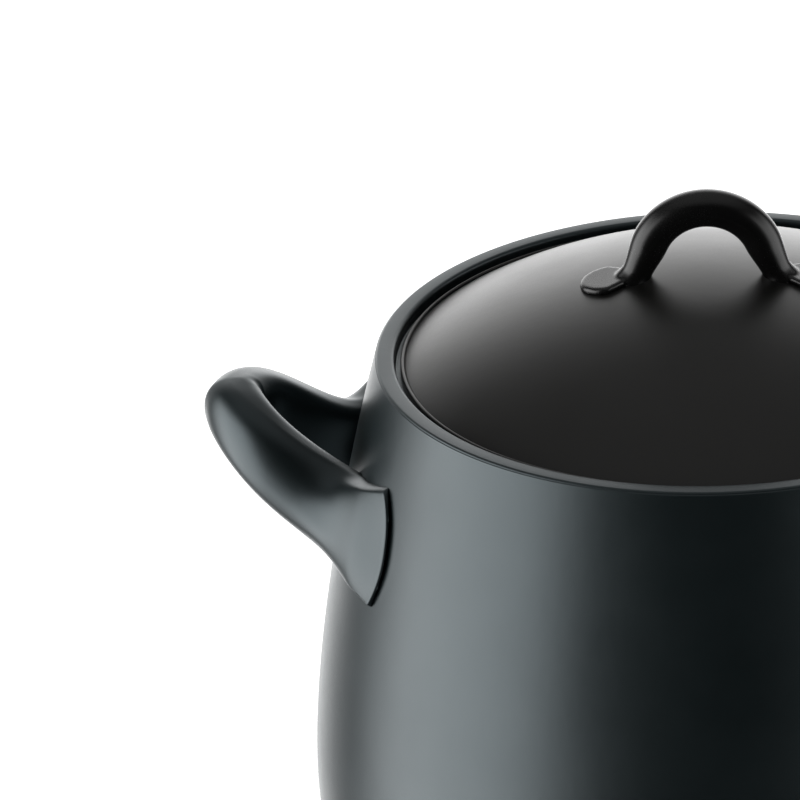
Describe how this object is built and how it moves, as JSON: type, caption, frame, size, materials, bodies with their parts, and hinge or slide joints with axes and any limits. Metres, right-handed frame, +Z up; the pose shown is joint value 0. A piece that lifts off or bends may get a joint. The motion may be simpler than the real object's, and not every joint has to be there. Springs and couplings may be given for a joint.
{
  "type": "lidded cooking pot",
  "caption": "Tall bellied cooking pot with ear-shaped loop handles and a domed drop-in lid with an arched grip, in matte dark grey.",
  "frame": {"origin": "centre of the flat base, on the surface the pot stands on", "axes": "+Z up through the pot's centre line, +X towards the right handle; the lid grip also lies along X"},
  "size_m": [0.3654, 0.2952, 0.2889],
  "materials": {
    "body_coat": "matte blue-grey ceramic coating on cast aluminium",
    "handle_coat": "the pot's matte blue-grey coating on cast aluminium",
    "lid_coat": "satin near-black coating on aluminium",
    "grip_coat": "semi-gloss near-black coating on aluminium",
    "base_steel": "turned ferritic stainless steel",
    "screw_steel": "satin stainless steel",
    "seal_silicone": "matte silicone"
  },
  "bodies": {
    "pot": {"pot_body": "body_coat", "base_disc": "base_steel", "left_handle": "handle_coat", "right_handle": "handle_coat", "left_front_upper_screw": "screw_steel", "left_front_lower_screw": "screw_steel", "left_rear_upper_screw": "screw_steel", "left_rear_lower_screw": "screw_steel", "right_front_upper_screw": "screw_steel", "right_front_lower_screw": "screw_steel", "right_rear_upper_screw": "screw_steel", "right_rear_lower_screw": "screw_steel", "left_front_upper_washer": "seal_silicone", "left_front_lower_washer": "seal_silicone", "left_rear_upper_washer": "seal_silicone", "left_rear_lower_washer": "seal_silicone", "right_front_upper_washer": "seal_silicone", "right_front_lower_washer": "seal_silicone", "right_rear_upper_washer": "seal_silicone", "right_rear_lower_washer": "seal_silicone"},
    "lid": {"lid": "lid_coat", "lid_grip": "grip_coat", "left_grip_screw": "screw_steel", "right_grip_screw": "screw_steel", "left_grip_washer": "seal_silicone", "right_grip_washer": "seal_silicone"}
  },
  "joints": [
    {"name": "lid_lift", "type": "slide", "parent": "pot", "child": "lid", "axis": [0, 0, 1], "range_m": [0, 0.2]}
  ]
}
